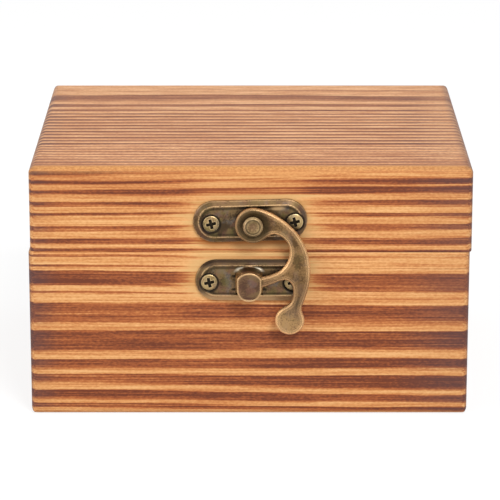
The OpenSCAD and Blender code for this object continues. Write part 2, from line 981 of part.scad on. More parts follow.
base_front_board();
base_back_board();
base_left_board();
base_right_board();
base_bottom_board();
keeper_plate();
keeper_screws();
hinge_left_base_leaf();
hinge_right_base_leaf();
hinge_left_pin();
hinge_right_pin();
hinge_base_screws();
lid_top_board();
lid_front_rail();
lid_back_rail();
lid_left_rail();
lid_right_rail();
hinge_left_lid_leaf();
hinge_right_lid_leaf();
hinge_lid_screws();
hook_plate();
hook_plate_screws();
hook_rivet();
pivot_washer();
latch_hook();
spring_disc();
spring_disc_screw();
jack_spring();
spring_plug();
neck_dowel();
collar();
head();
ears();
eyes();
nose();
hat();
hat_brim();
hat_bobble();
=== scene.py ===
import math
import random

import bpy
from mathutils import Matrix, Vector

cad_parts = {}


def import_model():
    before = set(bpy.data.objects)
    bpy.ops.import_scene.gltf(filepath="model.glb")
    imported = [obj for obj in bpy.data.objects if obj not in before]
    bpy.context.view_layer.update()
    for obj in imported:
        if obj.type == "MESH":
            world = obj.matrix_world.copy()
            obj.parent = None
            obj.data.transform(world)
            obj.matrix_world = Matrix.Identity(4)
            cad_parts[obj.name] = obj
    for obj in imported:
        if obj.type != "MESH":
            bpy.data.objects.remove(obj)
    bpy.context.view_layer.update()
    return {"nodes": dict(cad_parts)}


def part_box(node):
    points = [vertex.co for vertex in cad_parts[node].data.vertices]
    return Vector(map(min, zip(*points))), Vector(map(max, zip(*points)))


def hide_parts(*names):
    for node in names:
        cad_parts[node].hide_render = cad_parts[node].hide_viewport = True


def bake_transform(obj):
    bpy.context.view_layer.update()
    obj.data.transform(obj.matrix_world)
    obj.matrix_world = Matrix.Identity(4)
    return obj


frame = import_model()

MM = 0.001
NODES = frame["nodes"]

# ---------- Sizes that the looks need, in millimetres, from the frame ----------


def box_mm(name):
    """Lowest and highest corner of a CAD node, in millimetres."""
    low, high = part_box(name)
    return low / MM, high / MM


def middle_mm(name):
    """Middle of a CAD node's box, in millimetres."""
    low, high = box_mm(name)
    return (low + high) / 2


# Half the width and depth of the base and of the lid, and the heights of their edges
BASE_HIGH = box_mm("base_front_board")[1]
BASE_HALF = Vector((BASE_HIGH.x, box_mm("base_back_board")[1].y))
TOP_LOW, LID_HIGH = box_mm("lid_top_board")
LID_LOW_Z = box_mm("lid_front_rail")[0].z
LID_HALF = LID_HIGH.xy
# The latch: height of its plates, the upper plate's tilt, where the hook turns, and the radius
# of its screws' heads
PLATE_HEIGHT = 10.2
HOOK_PLATE_TILT = math.radians(1.5)
PIVOT = middle_mm("hook_rivet")
SCREW_HEAD_R = (box_mm("keeper_screws")[1].z - box_mm("keeper_screws")[0].z) / 2
# How far inside a plate's outline its raised lip and the groove behind the lip run
LIP_INSIDE, GROOVE_INSIDE = 1.3, 1.9
# The keeper's tongue: its middle, and the arch by which it bends out of the plate
TONGUE_X, TONGUE_Z = 0.0, middle_mm("keeper_plate").z
TONGUE_ARCH_Z, TONGUE_ARCH_R = TONGUE_Z - 0.3, 4.2
# The spring: radius of its wire, how often it turns, and the share of a turn flat at each end
WIRE_R, SPRING_TURNS, FLAT_TURN = 0.6, 6.835, 0.1

# ---------- Node trees ----------


def srgb(red, green, blue):
    """A colour written as 0 to 255 on screen, as Blender's linear colour."""
    def linear(level):
        level /= 255
        return level / 12.92 if level <= 0.04045 else ((level + 0.055) / 1.055) ** 2.4
    return linear(red), linear(green), linear(blue), 1.0


class Tree:
    """A node tree under construction, with a short call for each kind of node that is used."""

    def __init__(self, tree):
        self.tree = tree

    def add(self, kind, **settings):
        """A new node, with its properties set by name."""
        node = self.tree.nodes.new(kind)
        for name, value in settings.items():
            setattr(node, name, value)
        return node

    def feed(self, socket, value):
        """Links an output to a socket, or sets the socket to a constant."""
        if isinstance(value, bpy.types.NodeSocket):
            self.tree.links.new(value, socket)
        else:
            socket.default_value = value

    def math(self, operation, *values, clamp=False):
        node = self.add("ShaderNodeMath", operation=operation, use_clamp=clamp)
        for socket, value in zip(node.inputs, values):
            self.feed(socket, value)
        return node.outputs[0]

    def vector(self, operation, *values):
        node = self.add("ShaderNodeVectorMath", operation=operation)
        for socket, value in zip(node.inputs, values):
            self.feed(socket, value)
        return node.outputs["Value" if operation in ("DOT_PRODUCT", "LENGTH") else "Vector"]

    def smooth(self, value, low, high, to_low=0.0, to_high=1.0):
        """A smooth step from to_low at low to to_high at high."""
        node = self.add("ShaderNodeMapRange", interpolation_type="SMOOTHSTEP")
        for name, given in (
            ("Value", value), ("From Min", low), ("From Max", high),
            ("To Min", to_low), ("To Max", to_high),
        ):
            self.feed(node.inputs[name], given)
        return node.outputs["Result"]

    def noise(self, place, stretch, seed, detail=2.0):
        """Noise from 0 to 1 whose grains repeat `stretch` times a millimetre along x, y and z."""
        node = self.add("ShaderNodeTexNoise", noise_dimensions="3D")
        scaled = self.vector("MULTIPLY", place, stretch)
        self.feed(node.inputs["Vector"], self.vector("ADD", scaled, (seed, seed * 1.7, seed * 0.6)))
        self.feed(node.inputs["Scale"], 1.0)
        self.feed(node.inputs["Detail"], detail)
        return node.outputs["Fac"]

    def mix(self, factor, first, second, blend_type="MIX"):
        node = self.add("ShaderNodeMix", data_type="RGBA", blend_type=blend_type)
        self.feed(node.inputs["Factor"], factor)
        self.feed(node.inputs[6], first)
        self.feed(node.inputs[7], second)
        return node.outputs[2]

    def ramp(self, value, stops):
        """A colour ramp through stops, which are pairs of a position and a colour."""
        node = self.add("ShaderNodeValToRGB")
        elements = node.color_ramp.elements
        while len(elements) < len(stops):
            elements.new(0.5)
        for element, (position, colour) in zip(elements, stops):
            element.position = position
            element.color = colour
        self.feed(node.inputs["Fac"], value)
        return node.outputs["Color"]


class Finish(Tree):
    """A material: its place is each point of the object at rest, in millimetres."""

    def __init__(self, name):
        self.material = bpy.data.materials.new(name)
        self.material.use_nodes = True
        super().__init__(self.material.node_tree)
        self.shader = self.tree.nodes["Principled BSDF"]
        object_place = self.add("ShaderNodeTexCoord").outputs["Object"]
        self.place = self.vector("MULTIPLY", object_place, (1 / MM,) * 3)
        split = self.add("ShaderNodeSeparateXYZ")
        self.feed(split.inputs[0], self.place)
        self.x, self.y, self.z = split.outputs

    def set(self, **values):
        """Shader sockets by name, with _ for a space."""
        for name, value in values.items():
            self.feed(self.shader.inputs[name.replace("_", " ")], value)

    def bump(self, height, depth, strength=1.0):
        """Bumps `depth` millimetres deep where height goes from 0 to 1."""
        node = self.add("ShaderNodeBump")
        self.feed(node.inputs["Height"], height)
        self.feed(node.inputs["Distance"], depth * MM)
        self.feed(node.inputs["Strength"], strength)
        self.feed(self.shader.inputs["Normal"], node.outputs["Normal"])

    def edges(self, radius, gain):
        """1 on worn edges within `radius` millimetres of a corner, 0 on flats."""
        bevel = self.add("ShaderNodeBevel", samples=6)
        self.feed(bevel.inputs["Radius"], radius * MM)
        flat = self.add("ShaderNodeNewGeometry").outputs["Normal"]
        turn = self.math("SUBTRACT", 1.0, self.vector("DOT_PRODUCT", bevel.outputs[0], flat))
        turn = self.math("SQRT", self.math("MAXIMUM", turn, 0.0))
        return self.math("MULTIPLY_ADD", turn, gain, -0.12, clamp=True)

    def crevices(self, distance):
        """1 in the open, towards 0 in corners that are closed in within `distance` mm."""
        node = self.add("ShaderNodeAmbientOcclusion", samples=6)
        self.feed(node.inputs["Distance"], distance * MM)
        return node.outputs["AO"]


# ---------- Wood ----------

BAND_INPUTS = (
    "Height", "Along", "Bow", "So far", "Left top", "Left bottom",
    "Right top", "Right bottom", "Rise", "Dark left", "Dark right", "Soft",
)


def band_group():
    """One latewood band: dark between two slanted, bowed edges, sharp above and soft below."""
    tree = bpy.data.node_groups.new("latewood_band", "ShaderNodeTree")
    for name in BAND_INPUTS:
        tree.interface.new_socket(name, in_out="INPUT", socket_type="NodeSocketFloat")
    tree.interface.new_socket("Dark", in_out="OUTPUT", socket_type="NodeSocketFloat")
    make = Tree(tree)
    given = dict(zip(BAND_INPUTS, make.add("NodeGroupInput").outputs))
    bow = make.math("MULTIPLY", given["Bow"], given["Rise"])

    def between(left, right):
        return make.math(
            "MULTIPLY_ADD", given["Along"], make.math("SUBTRACT", right, left), left
        )

    top = make.math("ADD", between(given["Left top"], given["Right top"]), bow)
    bottom = make.math("ADD", between(given["Left bottom"], given["Right bottom"]), bow)
    under_top = make.smooth(make.math("SUBTRACT", top, given["Height"]), -0.12, 0.3)
    over_bottom = make.smooth(make.math("SUBTRACT", given["Height"], bottom), 0.0, given["Soft"])
    dark = between(given["Dark left"], given["Dark right"])
    band = make.math("MULTIPLY", make.math("MULTIPLY", under_top, over_bottom), dark)
    output = make.add("NodeGroupOutput")
    make.feed(output.inputs[0], make.math("MAXIMUM", given["So far"], band))
    return tree


LATEWOOD_BAND = band_group()

# Latewood bands of the faces that the box shows. Each is its top and bottom at the left end,
# the same at the right end, how far its middle rises, how dark it is at either end, and how
# soft its lower edge is, in millimetres. One that is below 0 dark at an end stops short of it
BASE_FRONT_BANDS = [
    (40.6, 39.9, 40.3, 39.7, 0.0, 0.70, 0.28, 0.3),
    (38.2, 37.4, 37.2, 36.7, 0.0, 0.62, 0.42, 0.4),
    (36.7, 32.3, 35.7, 30.4, 0.0, 0.88, 0.64, 1.3),
    (31.5, 30.6, 29.6, 29.0, 0.0, 0.42, 0.10, 0.4),
    (28.6, 22.0, 27.7, 21.9, 0.2, 0.78, 0.78, 3.0),
    (21.4, 15.5, 21.3, 15.6, 0.0, 0.86, 0.94, 2.0),
    (14.1, 11.1, 14.2, 10.8, 0.0, 0.84, 0.92, 1.9),
    (10.4, 7.6, 10.1, 5.9, 0.0, 0.72, 0.92, 1.7),
    (6.6, 3.8, 5.2, 2.7, 0.0, 0.80, 0.84, 0.9),
    (3.2, 1.6, 2.0, 0.5, 0.0, 0.70, 0.76, 0.8),
]
LID_FRONT_BANDS = [
    (61.1, 59.5, 61.6, 61.2, 0.0, 0.86, -0.6, 0.9),
    (58.8, 57.6, 61.2, 60.7, -0.7, 0.90, 0.35, 0.7),
    (57.9, 57.6, 59.5, 57.8, 0.3, -0.6, 0.72, 0.4),
    (56.6, 55.0, 57.6, 55.2, 0.0, 0.88, 0.66, 1.2),
    (53.7, 51.9, 54.1, 51.9, 0.0, 0.88, 0.72, 1.7),
    (50.9, 49.2, 50.8, 49.1, 0.2, 0.80, 0.66, 1.3),
    (47.6, 45.9, 48.0, 46.2, 0.2, 0.78, 0.66, 0.8),
    (44.5, 42.8, 44.8, 42.7, 0.0, 0.78, 0.64, 0.8),
    (42.1, 41.0, 41.9, 41.0, 0.0, 0.84, 0.74, 0.3),
]
# On top of the lid, height is how far back a point lies: bands from its back edge forward
TOP_BANDS = [
    (52.4, 51.2, 52.0, 51.0, 0.2, 0.7, 0.75, 0.6),
    (49.6, 48.9, 49.9, 49.3, 0.0, 0.6, 0.55, 0.4),
    (48.2, 46.4, 48.0, 46.6, -0.2, 0.75, 0.7, 1.0),
    (45.6, 43.8, 45.6, 43.4, 0.0, 0.50, 0.55, 0.8),
    (39.0, 36.0, 38.0, 35.0, 0.0, 0.16, 0.30, 2.5),
    (31.8, 23.0, 31.0, 22.6, 1.4, 0.66, 0.62, 4.5),
    (21.4, 17.6, 21.4, 17.8, 0.3, 0.70, 0.70, 1.6),
    (15.4, 12.8, 15.4, 13.0, 0.0, 0.74, 0.74, 1.2),
    (-21.2, -23.2, -20.9, -23.4, 0.3, 1.0, 0.8, 1.0),
]
# In front of the bands comes a close, even grain. It starts here, and its lines come every
# few millimetres, closer from the long dark line on
ROWS_FROM, ROWS_EVERY = 10.1, 3.2
CLOSE_ROWS_FROM, CLOSE_ROWS_EVERY = -22.2, 2.6


def top_rows(m, back):
    """The close grain on top of the lid, at a distance back from the lid's middle."""
    row = m.math("MULTIPLY", m.math("SUBTRACT", ROWS_FROM, back), 1 / ROWS_EVERY)
    close = m.math("MAXIMUM", m.math("SUBTRACT", CLOSE_ROWS_FROM, back), 0.0)
    row = m.math("MULTIPLY_ADD", close, 1 / CLOSE_ROWS_EVERY - 1 / ROWS_EVERY, row)
    wave = m.math("COSINE", m.math("MULTIPLY", row, math.tau))
    strength = m.smooth(back, CLOSE_ROWS_FROM - 3, CLOSE_ROWS_FROM + 1, 0.42, 0.78)
    strength = m.math("MULTIPLY", strength, m.smooth(row, -0.5, -0.2))
    return m.math("MULTIPLY", m.smooth(wave, -0.55, 0.95), strength)


def random_bands(seed, low, high):
    """Bands like those of the front, for a board whose face the front doesn't show."""
    rng = random.Random(seed)
    bands = []
    top = high - rng.uniform(0.3, 1.6)
    lean = rng.uniform(-0.8, 0.8)
    while top > low + 1.2:
        width = min(rng.choice((0.6, 1.2, 1.8, 2.6, 4.2)) * rng.uniform(0.8, 1.2), top - low)
        left, right = rng.uniform(0.62, 0.92), rng.uniform(0.62, 0.92)
        bands.append((top, top - width, top + lean, top - width + lean,
                      rng.uniform(-0.5, 0.5), left, right, 0.3 + 0.4 * width))
        lean += rng.uniform(-0.35, 0.35)
        top -= width + rng.uniform(0.8, 2.6)
    return bands


TORCHED_COLOURS = [
    (0.00, srgb(240, 186, 126)),
    (0.18, srgb(224, 160, 100)),
    (0.38, srgb(199, 126, 73)),
    (0.58, srgb(175, 100, 58)),
    (0.78, srgb(152, 84, 50)),
    (1.00, srgb(114, 61, 42)),
]
TOP_COLOURS = [
    (0.00, srgb(238, 186, 138)),
    (0.20, srgb(210, 149, 102)),
    (0.45, srgb(178, 117, 79)),
    (0.70, srgb(152, 93, 61)),
    (1.00, srgb(108, 62, 44)),
]
UNBURNT_COLOURS = [
    (0.0, srgb(226, 182, 122)),
    (0.4, srgb(214, 160, 98)),
    (1.0, srgb(184, 124, 72)),
]
RAW_COLOURS = [
    (0.0, srgb(238, 208, 160)),
    (0.5, srgb(224, 184, 130)),
    (1.0, srgb(192, 142, 92)),
]
SOOT = srgb(84, 67, 69)
# Orange-brown painted shadow under the upper plate
UNDER_PLATE_SHADOW = srgb(154, 84, 28)

# How dark plain wood is, and how much darker a full band is
PLAIN_TONE, BAND_TONE = 0.19, 0.82
# How fast the grain changes along a board, where it is 1 across it
GRAIN_ALONG = 0.05
# The bands on top of the lid lie this far above its front ones, clear of all their heights
TOP_SHIFT = 200.0


def grain(m, along, height, ends, bands, seed, stretch, on_top):
    """How dark the grain is at each point: the board's bands, a little wavy and patchy."""
    wave = m.noise(m.place, [s * 0.16 for s in stretch], seed, 1.0)
    wobble = m.noise(m.place, [s * 0.9 for s in stretch], seed + 3, 2.0)
    height = m.math("MULTIPLY_ADD", m.math("SUBTRACT", wave, 0.5), 0.9, height)
    height = m.math("MULTIPLY_ADD", m.math("SUBTRACT", wobble, 0.5), 0.7, height)
    share = m.smooth(along, ends[0], ends[1])
    bow = m.math("MULTIPLY", m.math("MULTIPLY", share, m.math("SUBTRACT", 1.0, share)), 4.0)
    dark = 0.0
    for band in bands:
        node = m.add("ShaderNodeGroup", node_tree=LATEWOOD_BAND)
        for name, value in zip(BAND_INPUTS, (height, share, bow, dark) + tuple(band)):
            m.feed(node.inputs[name], value)
        dark = node.outputs["Dark"]
    if on_top:
        rows = top_rows(m, m.math("SUBTRACT", height, TOP_SHIFT))
        dark = m.math("MAXIMUM", dark, m.math("MULTIPLY", rows, on_top(m)))
        # The top's grain fades out before its right end
        faded = m.math("MULTIPLY", m.smooth(m.x, LID_HALF.x - 13, LID_HALF.x - 4), on_top(m))
        dark = m.math("MULTIPLY", dark, m.math("MULTIPLY_ADD", faded, -0.5, 1.0))
    patch = along_grain(m, stretch, 0.03, 0.14, seed + 29, 1.0)
    return m.math("MULTIPLY", dark, m.smooth(patch, 0.35, 0.6, 0.9, 1.04))


def along_grain(m, stretch, along, across, seed, detail):
    """Noise that repeats `along` times a millimetre along the grain and `across` over it."""
    scale = [along if s < 1 else across for s in stretch]
    return m.noise(m.place, scale, seed, detail)


def streaks(m, stretch, seed):
    """The streaks along the board, around 0: long lines, then streaks, then rough fibres."""
    lines = m.math("SUBTRACT", along_grain(m, stretch, 0.02, 1.0, seed + 7, 3.0), 0.5)
    fine = m.math("SUBTRACT", along_grain(m, stretch, 0.02, 2.8, seed + 13, 3.0), 0.5)
    hair = along_grain(m, stretch, 0.06, 3.4, seed + 17, 1.0)
    fibres = m.math("SUBTRACT", m.smooth(hair, 0.52, 0.6), m.smooth(hair, 0.48, 0.4))
    grit = m.math("SUBTRACT", along_grain(m, stretch, 1.2, 2.6, seed + 19, 1.0), 0.5)
    fibres = m.math("MULTIPLY_ADD", grit, 5.0, fibres)
    return lines, fine, fibres


def shell_depth(m, half, face_z):
    """How deep a point lies under the outside of the box, in millimetres."""
    depth = m.math("SUBTRACT", half.x, m.math("ABSOLUTE", m.x))
    depth = m.math("MINIMUM", depth, m.math("SUBTRACT", half.y, m.math("ABSOLUTE", m.y)))
    return m.math("MINIMUM", depth, m.math("ABSOLUTE", m.math("SUBTRACT", m.z, face_z)))


def away_from_plates(m, plates, lines, fine):
    """Distance from the nearest latch plate, in millimetres, ragged along the grain."""
    near = away_from_plate(m, plates[0])
    for plate in plates[1:]:
        near = m.math("MINIMUM", near, away_from_plate(m, plate))
    ragged = m.math("ADD", lines, m.math("MULTIPLY", fine, 0.5))
    near = m.math("MULTIPLY_ADD", ragged, 14.0, near)
    # The flame reached the wood right under the lower plate
    lowest = min(box_mm(plate)[0].z for plate in plates)
    return m.math("ADD", near, m.smooth(m.z, lowest + 1.0, lowest - 0.6, 0.0, 8.0))


def away_from_plate(m, plate):
    """Distance from the rim of a round-ended latch plate in millimetres, negative inside."""
    low, high = box_mm(plate)
    tilt = HOOK_PLATE_TILT if plate == "hook_plate" else 0.0
    right = m.math("SUBTRACT", m.x, (low.x + high.x) / 2)
    up = m.math("SUBTRACT", m.z, (low.z + high.z) / 2)
    along = m.math("MULTIPLY_ADD", right, math.cos(tilt), m.math("MULTIPLY", up, math.sin(tilt)))
    aside = m.math("MULTIPLY_ADD", right, -math.sin(tilt), m.math("MULTIPLY", up, math.cos(tilt)))
    straight = (high.x - low.x - PLATE_HEIGHT) / 2
    beyond = m.math("MAXIMUM", m.math("SUBTRACT", m.math("ABSOLUTE", along), straight), 0.0)
    return m.math("SUBTRACT", from_point(m, beyond, aside), PLATE_HEIGHT / 2)


def from_point(m, right, up):
    """Length of the vector (right, up)."""
    square = m.math("MULTIPLY_ADD", right, right, m.math("MULTIPLY", up, up))
    return m.math("SQRT", square)


def from_axis(m, x, z):
    """Distance from an axis that runs front to back through x and z, in millimetres."""
    return from_point(m, m.math("SUBTRACT", m.x, x), m.math("SUBTRACT", m.z, z))


def band_at(m, value, middle, reach):
    """1 at the middle value, falling smoothly to 0 at a reach to either side."""
    off = m.math("ABSOLUTE", m.math("SUBTRACT", value, middle))
    return m.smooth(off, reach, 0.0)


def front_height(m, axis, half):
    """The height that picks a board's bands: its z, and higher behind its face, as rings lean."""
    across, limit = (m.y, half.y) if axis == "x" else (m.x, half.x)
    deep = m.math("SUBTRACT", limit, m.math("ABSOLUTE", across))
    past_edge = m.math("MAXIMUM", m.math("SUBTRACT", deep, 2.0), 0.0)
    return m.math("MULTIPLY_ADD", past_edge, 0.4, m.z)


def flecked_top(m, stretch, seed, on_top):
    """What the top adds to its tone: it is browner towards its front edge, and flecked."""
    browner = m.smooth(m.y, -30, -44, -0.05, 0.12)
    flecks = m.math("SUBTRACT", along_grain(m, stretch, 0.15, 0.9, seed + 37, 2.0), 0.5)
    specks = m.math("SUBTRACT", along_grain(m, stretch, 1.0, 1.3, seed + 41, 1.0), 0.5)
    flecks = m.math("MULTIPLY_ADD", specks, m.smooth(m.y, -10, -30, 0.0, 0.8), flecks)
    return m.math("MULTIPLY_ADD", m.math("MULTIPLY", flecks, on_top(m)), 0.5, browner)


def golden_edge(m, torched, seed):
    """Rubs the rounded front edge of the top to a speckled gold."""
    speckle = m.noise(m.place, (1.6, 3.0, 3.0), seed + 43, 1.0)
    gold = m.mix(m.smooth(speckle, 0.3, 0.7), srgb(220, 160, 98), srgb(196, 132, 76))
    return m.mix(band_at(m, past_front_edge(m), 0.6, 2.8), torched, gold)


def sooty_ends(m, torched, dark, half, on_top):
    """Soot towards the box's two ends, and on the ends' own edges."""
    right_reach, left_reach = 22, 9
    ends = m.math("MAXIMUM", m.smooth(m.x, half.x - right_reach, half.x),
                  m.smooth(m.x, left_reach - half.x, -half.x))
    soot = m.math("MULTIPLY", ends, m.math("MULTIPLY_ADD", dark, 0.6, 0.06))
    torched = m.mix(soot, torched, SOOT)
    aside = m.math("ABSOLUTE", m.x)
    if on_top:
        charred = m.smooth(aside, half.x - 3, half.x - 0.3, 0.0, 0.5)
        torched = m.mix(m.math("MULTIPLY", charred, on_top(m)), torched, SOOT)
    corner = m.smooth(aside, half.x - 0.9, half.x)
    return m.mix(m.math("MULTIPLY", corner, 0.45), torched, SOOT)


def torched_skin(m, tone, dark, lines, fine, half, plates, on_top, seed):
    """Colour and tone of the torched outside, with a painted shadow under the upper plate."""
    if plates:
        # The flame kept off the latch: the wood is paler within 7 mm of it, and unburnt within 3
        near = away_from_plates(m, plates, lines, fine)
        tone = m.math("MULTIPLY", tone, m.smooth(near, 7.0, 0.5, 1.0, 0.45))
    torched = m.ramp(tone, TORCHED_COLOURS)
    if on_top:
        torched = m.mix(on_top(m), torched, m.ramp(tone, TOP_COLOURS))
        torched = golden_edge(m, torched, seed)
    if plates:
        unburnt = m.ramp(tone, UNBURNT_COLOURS)
        torched = m.mix(m.smooth(near, 3.0, 0.0, 0.0, 0.8), torched, unburnt)
        # Painted shadow, darker and orange-brown, under the upper plate
        under = m.smooth(away_from_plate(m, "hook_plate"), 2.4, 0.3, 0.0, 0.75)
        under = m.math("MULTIPLY", under, m.smooth(m.z, PIVOT.z - 3, PIVOT.z - 5))
        torched = m.mix(under, torched, UNDER_PLATE_SHADOW)
    return sooty_ends(m, torched, dark, half, on_top), tone


def wood(name, axis, bands, seed, half, face_z, ends, plates=(), height=None, on_top=None,
         burnt=True):
    """Torched pine with its grain along x or y, raw inside the box.

    half and face_z tell where the box's outside is. Bands run between the two ends along the
    board. height and on_top are functions for a board whose grain isn't looked up by its z.
    """
    m = Finish(name)
    stretch = (GRAIN_ALONG, 1.0, 1.0) if axis == "x" else (1.0, GRAIN_ALONG, 1.0)
    along = m.x if axis == "x" else m.y
    height = height(m) if height else front_height(m, axis, half)
    dark = grain(m, along, height, ends, bands, seed, stretch, on_top)
    lines, fine, fibres = streaks(m, stretch, seed)
    wide = m.math("ADD", lines, 0.5)
    # Streaks show most where the grain is half dark
    half_dark = m.math("MULTIPLY", dark, m.math("SUBTRACT", 1.0, dark))
    tone = m.math("MULTIPLY_ADD", dark, BAND_TONE, PLAIN_TONE)
    tone = m.math("MULTIPLY_ADD", fine, m.math("MULTIPLY_ADD", half_dark, 2.6, 0.7), tone)
    tone = m.math("MULTIPLY_ADD", lines, m.math("MULTIPLY_ADD", half_dark, 0.6, 0.4), tone)
    tone = m.math("MULTIPLY_ADD", fibres, m.math("MULTIPLY_ADD", dark, 0.07, 0.07), tone)
    flecked = flecked_top(m, stretch, seed, on_top) if on_top else 0.0
    tone = m.math("ADD", tone, flecked, clamp=True)
    raw = m.math("MULTIPLY_ADD", dark, 0.45, m.math("MULTIPLY_ADD", wide, 0.8, -0.15))
    colour = m.ramp(m.math("MULTIPLY_ADD", fine, 0.8, raw, clamp=True), RAW_COLOURS)
    if burnt:
        torched, tone = torched_skin(m, tone, dark, lines, fine, half, plates, on_top, seed)
        deep = m.math("MULTIPLY_ADD", lines, 1.2, shell_depth(m, half, face_z))
        colour = m.mix(m.smooth(deep, 0.5, 2.6), torched, colour)
    m.set(Base_Color=colour, Roughness=m.math("MULTIPLY_ADD", wide, 0.16, 0.46))
    m.set(Specular_IOR_Level=0.16)
    relief = m.math("ADD", m.math("MULTIPLY", tone, 0.6), m.math("MULTIPLY", fine, 0.4))
    m.bump(relief, 0.05, 0.5)
    return m.material


def past_front_edge(m):
    """How far a point lies past the top board's front edge: below 0 in front, above 0 on top."""
    return m.math("SUBTRACT", m.math("ADD", m.y, LID_HALF.y), m.math("SUBTRACT", LID_HIGH.z, m.z))


def on_top_face(m):
    """0 on the front of the top board, 1 on its top, with the change on the rounded edge."""
    return m.smooth(past_front_edge(m), -0.7, 0.7)


def top_height(m):
    """Along the front of the top board its height is z, and on top of it the y coordinate."""
    # The bands of the top face lie far above the lid's own heights, and run on down its back
    top = m.math("SUBTRACT", m.math("ADD", m.y, TOP_SHIFT + LID_HIGH.z), m.z)
    return m.math("MULTIPLY_ADD", on_top_face(m), m.math("SUBTRACT", top, m.z), m.z)


def lift(bands, by):
    """The same bands, higher by a distance."""
    return [tuple(v + by for v in band[:4]) + tuple(band[4:]) for band in bands]


def wood_materials():
    """A material for each board of the box."""
    latch = ("hook_plate", "keeper_plate")
    half_w, half_d = BASE_HALF
    base = {"half": BASE_HALF, "face_z": 0.0}
    lid = {"half": LID_HALF, "face_z": LID_HIGH.z}
    lid_low, lid_high = LID_LOW_Z, LID_HIGH.z
    # The front rail's bands run on over the front edge of the top board
    top_front_bands = [band for band in LID_FRONT_BANDS if max(band) > TOP_LOW.z - 1]
    return {
        "base_front_board": wood("torched_base_front", "x", BASE_FRONT_BANDS, 1,
                                 ends=(-45, 35), plates=latch, **base),
        "base_back_board": wood("torched_base_back", "x", random_bands(21, 0, BASE_HIGH.z), 2,
                                ends=(-half_w, half_w), **base),
        "base_left_board": wood("torched_base_left", "y", random_bands(22, 0, BASE_HIGH.z), 3,
                                ends=(-half_d, half_d), **base),
        "base_right_board": wood("torched_base_right", "y", random_bands(23, 0, BASE_HIGH.z), 4,
                                 ends=(-half_d, half_d), **base),
        "base_bottom_board": wood("raw_bottom", "x", random_bands(24, -45, 45), 5,
                                  ends=(-half_w, half_w), burnt=False,
                                  height=lambda m: m.y, **base),
        "lid_front_rail": wood("torched_lid_front", "x", LID_FRONT_BANDS, 6,
                               ends=(-50, 45), plates=latch, **lid),
        "lid_top_board": wood("torched_lid_top", "x",
                              top_front_bands + lift(TOP_BANDS, TOP_SHIFT), 6,
                              ends=(-50, 45), plates=latch, height=top_height,
                              on_top=on_top_face, **lid),
        "lid_back_rail": wood("torched_lid_back", "x", random_bands(31, lid_low, lid_high), 8,
                              ends=(-half_w, half_w), **lid),
        "lid_left_rail": wood("torched_lid_left", "y", random_bands(32, lid_low, lid_high), 9,
                              ends=(-half_d, half_d), **lid),
        "lid_right_rail": wood("torched_lid_right", "y", random_bands(33, lid_low, lid_high), 10,
                               ends=(-half_d, half_d), **lid),
    }


# ---------- Metal ----------

# Black for painted shade in crevices, cuts and round screws, over the black patina there
BLACK_SHADE_AND_PATINA = srgb(24, 18, 12)
PURPLE_TINT = srgb(122, 82, 70)
RIM_BROWN = srgb(84, 60, 40)
# Painted shade along the keeper's upper rim
RIM_SHADE = srgb(34, 22, 12)
EYE_OLIVE = srgb(46, 38, 18)
# Painted highlight on the arched root of the keeper's tongue
HIGHLIGHT_GREY = srgb(186, 174, 154)
# Colours that come and go in a bronze patina, each with how strongly it shows
PATINA_TINTS = ((srgb(128, 124, 122), 0.3), (PURPLE_TINT, 0.4), (srgb(118, 106, 60), 0.45))


def bronze(name, seed, low, high, bright_brass, roughness=0.4, shade=None, open_to=1.6,
           rubbed=(0.3, 2.4), tinted=1.0):
    """Antique bronze: a mottled brown patina, brassy where hands and polishing wore its edges.

    rubbed is how far from an edge the wear reaches and how strong it is. Crevices closed in
    within open_to millimetres are painted black: painted shade over a black patina.
    """
    m = Finish(name)
    cloud = m.noise(m.place, (0.3, 0.3, 0.3), seed, 3.0)
    grit = m.noise(m.place, (2.4, 2.4, 2.4), seed + 5, 3.0)
    mottle = m.math("MULTIPLY_ADD", m.math("SUBTRACT", grit, 0.5), 0.8, cloud)
    colour = m.mix(m.smooth(mottle, 0.32, 0.68), low, high)
    for step, (tint, strength) in enumerate(PATINA_TINTS):
        patch = m.noise(m.place, (0.34, 0.34, 0.34), seed + 9 + 8 * step, 2.0)
        colour = m.mix(m.smooth(patch, 0.5, 0.64, 0.0, strength * tinted), colour, tint)
    relief = m.math("MULTIPLY", m.math("MULTIPLY_ADD", cloud, 0.6, grit), 0.03)
    rub = m.math("MULTIPLY", m.edges(*rubbed), m.smooth(grit, 0.1, 0.4))
    colour = m.mix(rub, colour, bright_brass)
    if shade:
        colour, form = shade(m, colour, bright_brass, grit)
        relief = m.math("ADD", relief, form)
    # Painted shade, over a black patina, in crevices closed in within open_to millimetres
    crevice_shade_and_patina = m.smooth(m.crevices(open_to), 0.3, 0.85, 0.9, 0.0)
    colour = m.mix(crevice_shade_and_patina, colour, BLACK_SHADE_AND_PATINA)
    m.set(Base_Color=colour, Metallic=0.85)
    m.set(Roughness=m.math("MULTIPLY_ADD", grit, 0.25, roughness - 0.1))
    m.bump(relief, 1.0)
    return m.material


